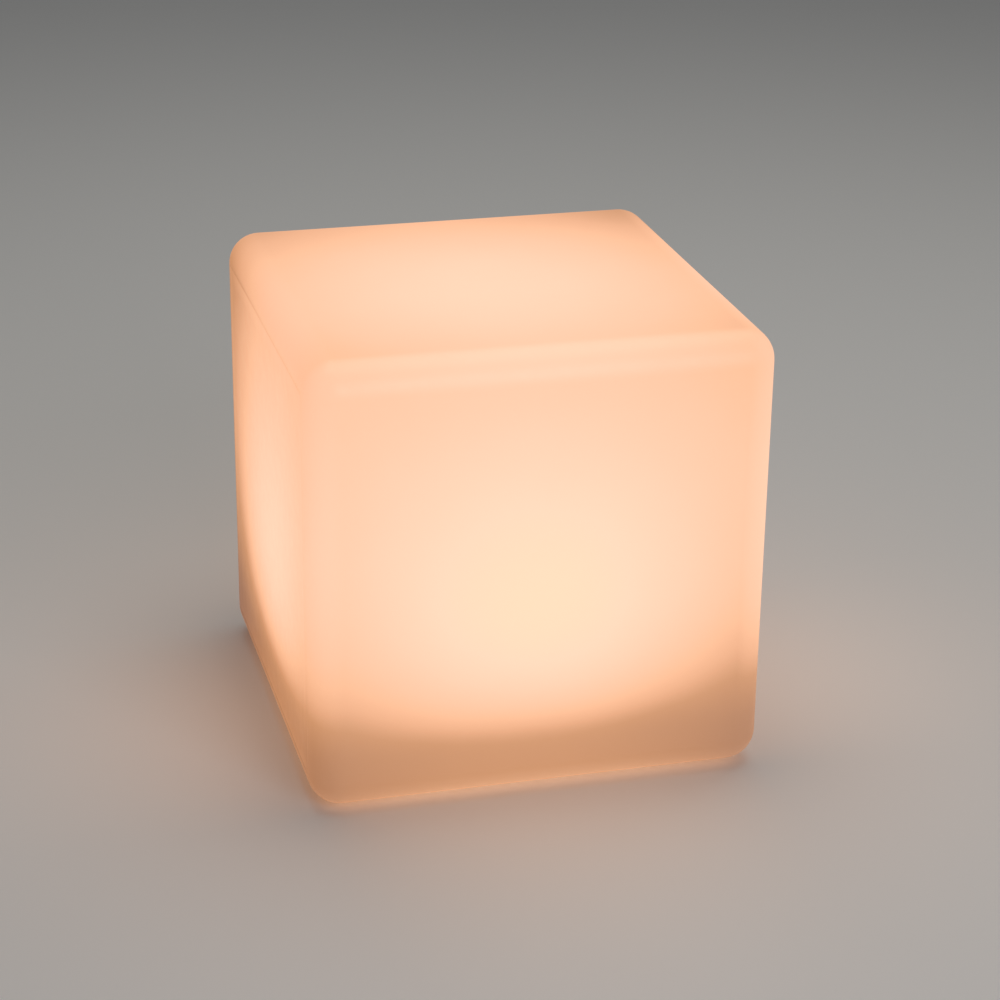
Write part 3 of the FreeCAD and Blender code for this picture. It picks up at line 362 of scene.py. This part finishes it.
def finish_material(tree, settings, relief, depth):
    """The shader with its inputs, and relief of a real depth in metres, to the output."""
    bump = add(tree, "ShaderNodeBump", inputs={"Height": relief, "Distance": depth})
    shader = add(tree, "ShaderNodeBsdfPrincipled", inputs={"Normal": bump, **settings})
    add(tree, "ShaderNodeOutputMaterial", inputs={"Surface": shader})


# the glow is worked out as if it came from one point, some 9 mm below the frame's LEDs; that height
# and the other values here were fitted and tuned to how the lit cube looks, and none of them
# comes from a measured wall or lamp
GLOW_MIDDLE = (0, 0, 54 * MM)
SOFT_FOOT = 12.5 * MM
SPREAD = 1.25
FULL_GLOW = 13.0
BOUNCE = 0.18
TOP_LOSS = 0.105
CORNER_LOSS = 0.08
SEAM_SHADE = 0.15
# painted light and shade in the glow: brighter toward the front and left and darker toward the back
# and right, half as much on the top; and by facing, darker on the left wall and lighter on the right
PAINTED_FRONT_LIGHT = (-0.6, -1.75, 0)
PAINTED_SIDE_LIGHT = (0.11, 0, -0.02)
LEAST_GLOW_SCALE = 0.66
TOP_EVEN = 0.5
WAVER_SIZE = 70 * MM
PATCH_SIZE = 12 * MM
PEEL_SIZE = 2.2 * MM
PEEL_DEPTH = 0.06 * MM
GLOW_STOPS = ((0.08, "#7C4520"), (0.19, "#AD6F3F"), (0.27, "#C2814E"), (0.35, "#E4A173"),
              (0.42, "#F3B184"), (0.5, "#F9B992"), (0.65, "#FAC4A2"), (0.81, "#FACDAD"),
              (0.96, "#FAD2AE"))


def lamp_light(tree, place, normal):
    """How much light the skin takes straight from the point inside, 1 where the glow is full.

    It grows with how far the skin rises over the point and how squarely it faces the point, as
    from LEDs that throw their light upward, and falls with the distance.
    """
    ray = add(tree, "ShaderNodeVectorMath", {"operation": "SUBTRACT"}, {0: place, 1: GLOW_MIDDLE})
    height = add(tree, "ShaderNodeSeparateXYZ", inputs={0: ray}).outputs["Z"]
    square = add(tree, "ShaderNodeVectorMath", {"operation": "DOT_PRODUCT"}, {0: ray, 1: ray})
    facing = add(tree, "ShaderNodeVectorMath", {"operation": "DOT_PRODUCT"}, {0: ray, 1: normal})
    facing = add(tree, "ShaderNodeMath", {"operation": "MAXIMUM"}, {0: facing, 1: 0.0})
    # the rise fades out softly below the point: (height + root of (height squared + foot squared)) / 2
    rise = add(tree, "ShaderNodeMath", {"operation": "MULTIPLY_ADD"},
               {0: height, 1: height, 2: SOFT_FOOT ** 2})
    rise = add(tree, "ShaderNodeMath", {"operation": "SQRT"}, {0: rise})
    rise = add(tree, "ShaderNodeMath", {"operation": "ADD"}, {0: rise, 1: height})
    rise = add(tree, "ShaderNodeMath", {"operation": "MULTIPLY"}, {0: rise, 1: 0.5})
    thrown = add(tree, "ShaderNodeMath", {"operation": "POWER"}, {0: rise, 1: SPREAD})
    taken = add(tree, "ShaderNodeMath", {"operation": "MULTIPLY"}, {0: thrown, 1: facing})
    loss = add(tree, "ShaderNodeMath", {"operation": "POWER"}, {0: square, 1: 1.5 + SPREAD / 2})
    light = add(tree, "ShaderNodeMath", {"operation": "DIVIDE"}, {0: taken, 1: loss})
    return add(tree, "ShaderNodeMath", {"operation": "MULTIPLY"}, {0: light, 1: 1 / FULL_GLOW})


def make_polyethylene():
    """Rotomoulded white polyethylene, lit from inside: a satin skin that glows warm and a little
    unevenly, with a fine orange peel and a faintly darker parting line."""
    material, tree, place, normal = start_material("rotomoulded_polyethylene")
    direct = lamp_light(tree, place, normal)
    # an even glow stands for the light that the walls throw back and forth: less on the top
    up = add(tree, "ShaderNodeSeparateXYZ", inputs={0: normal}).outputs["Z"]
    top = add(tree, "ShaderNodeMath", {"operation": "MAXIMUM"}, {0: up, 1: 0.0})
    bounce = add(tree, "ShaderNodeMath", {"operation": "MULTIPLY_ADD"},
                 {0: top, 1: -TOP_LOSS, 2: BOUNCE})
    # and least at the low corners: the square of the distance from the middle is 1 at a wall's
    # middle and 2 at a corner
    aside = add(tree, "ShaderNodeVectorMath", {"operation": "MULTIPLY"},
                {0: place, 1: (1 / HALF, 1 / HALF, 0)})
    aside = add(tree, "ShaderNodeVectorMath", {"operation": "DOT_PRODUCT"}, {0: aside, 1: aside})
    aside = add(tree, "ShaderNodeMapRange", inputs={"Value": aside, "From Min": 1.0,
                                                    "From Max": 2.0, "To Max": CORNER_LOSS})
    height = add(tree, "ShaderNodeSeparateXYZ", inputs={0: place}).outputs["Z"]
    low = add(tree, "ShaderNodeMapRange", inputs={"Value": height, "From Max": 1.5 * HALF,
                                                  "To Min": -1.0, "To Max": 0.0})
    bounce = add(tree, "ShaderNodeMath", {"operation": "MULTIPLY_ADD"},
                 {0: aside, 1: low, 2: bounce})
    light = add(tree, "ShaderNodeMath", {"operation": "ADD"}, {0: direct, 1: bounce})
    # the share that shines through wavers slowly and drops at the parting; the glow is also painted
    # brighter toward the front and left, and by facing, painted darker on the left wall, lighter on
    # the right
    painted_front_light = add(tree, "ShaderNodeVectorMath", {"operation": "DOT_PRODUCT"},
                {0: place, 1: PAINTED_FRONT_LIGHT})
    even = add(tree, "ShaderNodeMath", {"operation": "MULTIPLY_ADD"},
               {0: top, 1: -TOP_EVEN, 2: 1.0})
    painted_front_light = add(tree, "ShaderNodeMath", {"operation": "MULTIPLY"}, {0: painted_front_light, 1: even})
    waver = add(tree, "ShaderNodeTexNoise", inputs={"Vector": place, "Scale": 1 / WAVER_SIZE,
                                                    "Detail": 2.0})
    waver = add(tree, "ShaderNodeMapRange", inputs={"Value": waver, "To Min": 0.97,
                                                    "To Max": 1.03})
    seam = add(tree, "ShaderNodeAttribute", {"attribute_name": "seam"}).outputs["Fac"]
    thick = add(tree, "ShaderNodeMath", {"operation": "MULTIPLY_ADD"},
                {0: seam, 1: -SEAM_SHADE, 2: waver})
    # painted shade on the left wall and painted light on the right wall, by the way the skin faces
    painted_side_light = add(tree, "ShaderNodeVectorMath", {"operation": "DOT_PRODUCT"},
                {0: normal, 1: PAINTED_SIDE_LIGHT})
    # what shines through, with the painted light and shade added on
    through = add(tree, "ShaderNodeMath", {"operation": "ADD"}, {0: painted_front_light, 1: thick})
    through = add(tree, "ShaderNodeMath", {"operation": "ADD"}, {0: through, 1: painted_side_light})
    through = add(tree, "ShaderNodeMath", {"operation": "MAXIMUM"}, {0: through, 1: LEAST_GLOW_SCALE})
    glow = add(tree, "ShaderNodeMath", {"operation": "MULTIPLY"}, {0: light, 1: through})
    warm = add(tree, "ShaderNodeValToRGB", inputs={"Fac": glow}, stops=GLOW_STOPS)
    patchy = add(tree, "ShaderNodeTexNoise", inputs={"Vector": place, "Scale": 1 / PATCH_SIZE})
    satin = add(tree, "ShaderNodeMapRange", inputs={"Value": patchy, "To Min": 0.34,
                                                    "To Max": 0.5})
    # the peel's bumps are drawn coarse, so that they show
    peel = add(tree, "ShaderNodeTexNoise", inputs={"Vector": place, "Scale": 1 / PEEL_SIZE,
                                                   "Detail": 4.0})
    finish_material(tree, {"Base Color": linear("#8E8A84"), "Emission Color": warm,
                           "Emission Strength": 1.0, "Roughness": satin, "IOR": 1.52},
                    peel, PEEL_DEPTH)
    return material


def make_moulded(name, colours, roughness, grain, relief, settings=None):
    """A moulded finish: its colour drifts between two, its gloss varies, and its grain of a real
    size and depth in millimetres shows as relief."""
    material, tree, place, normal = start_material(name)
    fine = add(tree, "ShaderNodeTexNoise", inputs={"Vector": place, "Scale": 1 / (grain * MM),
                                                   "Detail": 4.0})
    broad = add(tree, "ShaderNodeTexNoise", inputs={"Vector": place, "Detail": 3.0,
                                                    "Scale": 1 / (9 * grain * MM)})
    mixed = add(tree, "ShaderNodeMath", {"operation": "MULTIPLY_ADD"}, {0: fine, 1: 0.5, 2: broad})
    colour = add(tree, "ShaderNodeValToRGB", inputs={"Fac": mixed},
                 stops=((0.55, colours[0]), (0.95, colours[1])))
    gloss = add(tree, "ShaderNodeMapRange", inputs={"Value": broad, "From Min": 0.3, "From Max": 0.7,
                                                    "To Min": roughness - 0.05,
                                                    "To Max": roughness + 0.07})
    finish_material(tree, {"Base Color": colour, "Roughness": gloss, **(settings or {})},
                    fine, relief * MM)
    return material


def make_turned(name, code, roughness, pitch, settings=None):
    """A turned or drawn metal: fine rings about the upright axis catch the light as arcs."""
    material, tree, place, normal = start_material(name)
    rings = add(tree, "ShaderNodeTexWave", {"wave_type": "RINGS", "rings_direction": "Z"},
                {"Vector": place, "Scale": 1 / (pitch * MM), "Distortion": 1.5, "Detail": 2.0})
    smear = add(tree, "ShaderNodeTexNoise", inputs={"Vector": place, "Scale": 1 / (3 * MM)})
    gloss = add(tree, "ShaderNodeMapRange", inputs={"Value": smear, "To Min": roughness - 0.05,
                                                    "To Max": roughness + 0.08})
    finish_material(tree, {"Base Color": linear(code), "Metallic": 1.0, "Roughness": gloss,
                           **(settings or {})}, rings, 0.004 * MM)
    return material


def make_circuit(name, mask, trace):
    """Solder mask over copper: the tracks stand a little proud and show through paler."""
    material, tree, place, normal = start_material(name)
    tracks = add(tree, "ShaderNodeTexBrick", {"offset": 0.37},
                 {"Vector": place, "Scale": 1 / (6 * MM), "Mortar Size": 0.045,
                  "Mortar Smooth": 0.3, "Brick Width": 0.62, "Row Height": 0.23,
                  "Color1": linear(mask), "Color2": linear(mask), "Mortar": linear(trace)})
    pooled = add(tree, "ShaderNodeTexNoise", inputs={"Vector": place, "Scale": 1 / (2 * MM)})
    gloss = add(tree, "ShaderNodeMapRange", inputs={"Value": pooled, "To Min": 0.22, "To Max": 0.4})
    finish_material(tree, {"Base Color": tracks, "Roughness": gloss, "Coat Weight": 0.3},
                    tracks.outputs["Fac"], 0.035 * MM)
    return material


def make_foam():
    """Open-cell EVA foam: dark, dull and pitted by its cells."""
    material, tree, place, normal = start_material("eva_foam")
    pores = add(tree, "ShaderNodeTexVoronoi", inputs={"Vector": place, "Scale": 1 / (0.9 * MM)})
    # the cells' pits are painted darker than their rims, as shade
    colour = add(tree, "ShaderNodeValToRGB", inputs={"Fac": pores},
                 stops=((0.1, "#141416"), (0.7, "#34343A")))
    finish_material(tree, {"Base Color": colour, "Roughness": 0.95}, pores, 0.2 * MM)
    return material


def make_lit(name, code, glow, strength, roughness, grain):
    """A diffuser that the LEDs light: its own pale colour and a warm glow, a little uneven."""
    material, tree, place, normal = start_material(name)
    uneven = add(tree, "ShaderNodeTexNoise", inputs={"Vector": place, "Scale": 1 / (grain * MM)})
    warm = add(tree, "ShaderNodeValToRGB", inputs={"Fac": uneven},
               stops=((0.3, glow[0]), (0.7, glow[1])))
    gloss = add(tree, "ShaderNodeMapRange", inputs={"Value": uneven, "To Min": roughness - 0.06,
                                                    "To Max": roughness + 0.06})
    finish_material(tree, {"Base Color": linear(code), "Emission Color": warm,
                           "Emission Strength": strength, "Roughness": gloss}, uneven, 0.02 * MM)
    return material


def make_materials():
    """One material for each of the record's slots, named for what the piece is really made of."""
    return {
        # soft white skin that carries the light
        "polyethylene": make_polyethylene(),
        # moulded nitrile feet: dull, near-black, scuffed paler by the ground
        "foot_rubber": make_moulded("nitrile_rubber", ("#29292B", "#444340"), 0.78, 0.8, 0.05),
        # knurled inserts, dull gold
        "insert_brass": make_turned("turned_brass", "#C8A35A", 0.32, 0.6),
        # grey silicone gasket, slightly waxy
        "gasket_silicone": make_moulded("silicone_gasket", ("#A9A8A2", "#8F8E88"), 0.55, 0.7, 0.02),
        # off-white ABS with a spark-eroded texture that keeps it from shining
        "module_abs": make_moulded("textured_abs", ("#D9D7D0", "#D2CFC7"), 0.46, 0.9, 0.03,
                                   {"IOR": 1.54}),
        # passivated A2 screws and washers
        "stainless": make_turned("stainless_steel", "#B9B7B2", 0.28, 0.5),
        # blank silver-grey label film with a faint ripple from its adhesive
        "label_film": make_moulded("polypropylene_label", ("#B4B6B8", "#A2A4A7"), 0.36, 2.5, 0.03),
        # glass-filled nylon: black, its fibres showing as a fine fleck
        "black_nylon": make_moulded("glass_filled_nylon", ("#18181A", "#303033"), 0.5, 0.35, 0.02),
        # bright nickel over brass, faintly yellow
        "nickel_plate": make_turned("nickel_plated_brass", "#CFCBC0", 0.18, 0.7),
        # charcoal ABS cap, finely textured for grip
        "cap_abs": make_moulded("charcoal_abs", ("#35373A", "#4A4C50"), 0.42, 0.5, 0.03,
                                {"IOR": 1.54}),
        # black EPDM seals, dull
        "seal_rubber": make_moulded("epdm_rubber", ("#18181A", "#2A2A2D"), 0.7, 0.5, 0.02),
        # soft button skin, matt with a slight bloom
        "button_silicone": make_moulded("silicone_button", ("#4B4F54", "#5E6268"), 0.6, 0.6, 0.02,
                                        {"Sheen Weight": 0.15}),
        # drawn spring wire and clip, darker than the screws
        "spring_steel": make_turned("spring_steel", "#A5A5A3", 0.3, 0.4),
        # polished acrylic rod
        "clear_acrylic": make_moulded("clear_acrylic", ("#F2F6F6", "#E8EEEE"), 0.1, 3.0, 0.002,
                                      {"Transmission Weight": 0.9, "IOR": 1.49}),
        # white PPA bodies of the LEDs
        "led_case": make_moulded("ppa_led_body", ("#EDEDE6", "#DDDDD4"), 0.4, 0.5, 0.01),
        # phosphor in silicone: yellow, glowing warm white
        "led_phosphor": make_lit("yellow_phosphor", "#F2D47A", ("#FFC27A", "#FFE0A8"), 6.0, 0.35,
                                 0.8),
        # green mask with paler tracks under it
        "circuit_green": make_circuit("green_solder_mask", "#0E4A2B", "#1F6B42"),
        # white mask that throws the LEDs' light upward
        "circuit_white": make_circuit("white_solder_mask", "#E9E8E2", "#F4F2EC"),
        # transfer-moulded epoxy: black and dull
        "chip_epoxy": make_moulded("moulded_epoxy", ("#1A1A1C", "#2C2C2F"), 0.55, 0.3, 0.012),
        # pressed and ground ferrite, dark grey
        "ferrite": make_moulded("ground_ferrite", ("#3B3A3A", "#525050"), 0.6, 0.5, 0.03),
        # drawn can with a soft shine
        "capacitor_can": make_turned("drawn_aluminium", "#C3C6CA", 0.25, 0.9),
        # natural nylon lets a little light in
        "header_nylon": make_moulded("natural_nylon", ("#E6E1D0", "#D8D2BD"), 0.4, 0.6, 0.01,
                                     {"Subsurface Weight": 0.1}),
        # black ABS cradle
        "cradle_abs": make_moulded("black_abs", ("#242426", "#38383B"), 0.48, 0.5, 0.02,
                                   {"IOR": 1.54}),
        # shrink sleeve drawn tight over the cells: glossy blue with faint stretch ripples
        "cell_sleeve": make_moulded("pvc_shrink_sleeve", ("#1F5C99", "#194D82"), 0.22, 4.0, 0.03),
        "foam": make_foam(),
        # glossy wire insulation
        "red_insulation": make_moulded("red_pvc_insulation", ("#A81915", "#8E1411"), 0.35, 0.8,
                                       0.01),
        "black_insulation": make_moulded("black_pvc_insulation", ("#151516", "#262628"), 0.35, 0.8,
                                         0.01),
        # duller sleeve round the harness
        "grey_sleeve": make_moulded("grey_pvc_sleeve", ("#8A8C8E", "#77797B"), 0.45, 0.8, 0.015),
        # faced on a lathe, its feed marks showing
        "spreader_aluminium": make_turned("faced_aluminium", "#C9CCD0", 0.3, 1.1),
        # soft blue-grey pad
        "thermal_silicone": make_moulded("thermal_silicone", ("#93A0B4", "#8290A4"), 0.7, 0.6,
                                         0.03),
        # epoxy that looks black but lets infra-red through
        "receiver_epoxy": make_moulded("infrared_epoxy", ("#1A0E14", "#26141D"), 0.12, 1.5, 0.004),
        # sand-blasted dome that spreads the LEDs' light
        "frosted_polycarbonate": make_lit("frosted_polycarbonate", "#F1EEE8",
                                          ("#FFD9A8", "#FFE7C4"), 1.6, 0.55, 1.2),
    }


# ---------------------------------------------------------------- camera, light and floor

LENS = 93.77
SENSOR = 36
CAMERA_TURNS = (-15.057, 22.842, 0.717)
CAMERA_TARGET = (12.6 * MM, 0, 191.05 * MM)
CAMERA_DISTANCE = 2.35205


def make_camera():
    """A standing camera to the left of the front, looking down at the cube, rolled a touch."""
    data = bpy.data.cameras.new("camera")
    data.sensor_width = SENSOR
    data.lens = LENS
    camera = bpy.data.objects.new("camera", data)
    bpy.context.scene.collection.objects.link(camera)
    azimuth, elevation, roll = (math.radians(turn) for turn in CAMERA_TURNS)
    back = Vector((math.sin(azimuth) * math.cos(elevation),
                   -math.cos(azimuth) * math.cos(elevation), math.sin(elevation)))
    target = Vector(CAMERA_TARGET)
    turn = (-back).to_track_quat("-Z", "Y").to_matrix().to_4x4()
    camera.matrix_world = (Matrix.Translation(target + back * CAMERA_DISTANCE) @ turn
                           @ Matrix.Rotation(roll, 4, "Z"))
    bpy.context.scene.camera = camera
    bpy.context.scene.view_settings.view_transform = "Standard"


def make_light(name, place, aim, size, power, code):
    """A soft square light at a place, aimed at a point."""
    data = bpy.data.lights.new(name, "AREA")
    data.size = size
    data.energy = power
    data.color = linear(code)[:3]
    light = bpy.data.objects.new(name, data)
    bpy.context.scene.collection.objects.link(light)
    light.location = place
    light.rotation_euler = (Vector(aim) - Vector(place)).to_track_quat("-Z", "Y").to_euler()
    return light


FLOOR_GAP = 0.1 * MM


def make_studio():
    """Dim soft light, so that the lamp's own glow leads, and a pale floor seen only from above."""
    world = bpy.data.worlds.new("studio")
    bpy.context.scene.world = world
    world.use_nodes = True
    world.node_tree.nodes["Background"].inputs["Color"].default_value = linear("#E9EDF2")
    world.node_tree.nodes["Background"].inputs["Strength"].default_value = 0.14
    make_light("overhead", (0.3, 0.5, 2.6), (0, 0, 0.2), 2.4, 21, "#FFFDF8")
    make_light("front", (0.5, -2.6, 1.3), (0, 0, 0.2), 1.6, 16, "#F6F8FF")
    under = make_light("under", (0, 0, -1), (0, 0, 0), 0.25, 0.5, "#FFFFFF")
    under.data.spread = math.radians(40)
    under.visible_glossy = False
    bm = bmesh.new()
    bmesh.ops.create_grid(bm, x_segments=2, y_segments=2, size=6,
                          matrix=Matrix.Translation((0, 0, -FLOOR_GAP)))
    floor = finish_piece(bm, "floor", sharp=30)
    floor.visible_shadow = False
    material, tree = start_material("pale_floor")[:2]
    paint = add(tree, "ShaderNodeBsdfPrincipled", inputs={"Base Color": linear("#F0EEEA"),
                                                          "Roughness": 0.75})
    clear = add(tree, "ShaderNodeBsdfTransparent")
    behind = add(tree, "ShaderNodeNewGeometry").outputs["Backfacing"]
    either = add(tree, "ShaderNodeMixShader", inputs={0: behind, 1: paint, 2: clear})
    add(tree, "ShaderNodeOutputMaterial", inputs={"Surface": either})
    floor.data.materials.append(material)


# ---------------------------------------------------------------- the object

make_camera()
make_studio()
materials = make_materials()

slots = {item["node"]: item["material_slot"] for item in frame["record"]["subparts"]}
for name, node in frame["nodes"].items():
    node.data.materials.clear()
    node.data.materials.append(materials[slots[name]])

shell = make_shell()
shell.data.materials.append(materials["polyethylene"])
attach(shell, "root")
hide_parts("shell")

feet = make_feet()
feet.data.materials.append(materials["foot_rubber"])
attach(feet, "root")
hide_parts("rubber_feet")

spring = make_return_spring()
spring.data.materials.append(materials["spring_steel"])
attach(spring, "root")
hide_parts("button_spring")
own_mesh(spring)

mark = make_power_mark()
mark.data.materials.append(materials["gasket_silicone"])
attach(mark, "button")
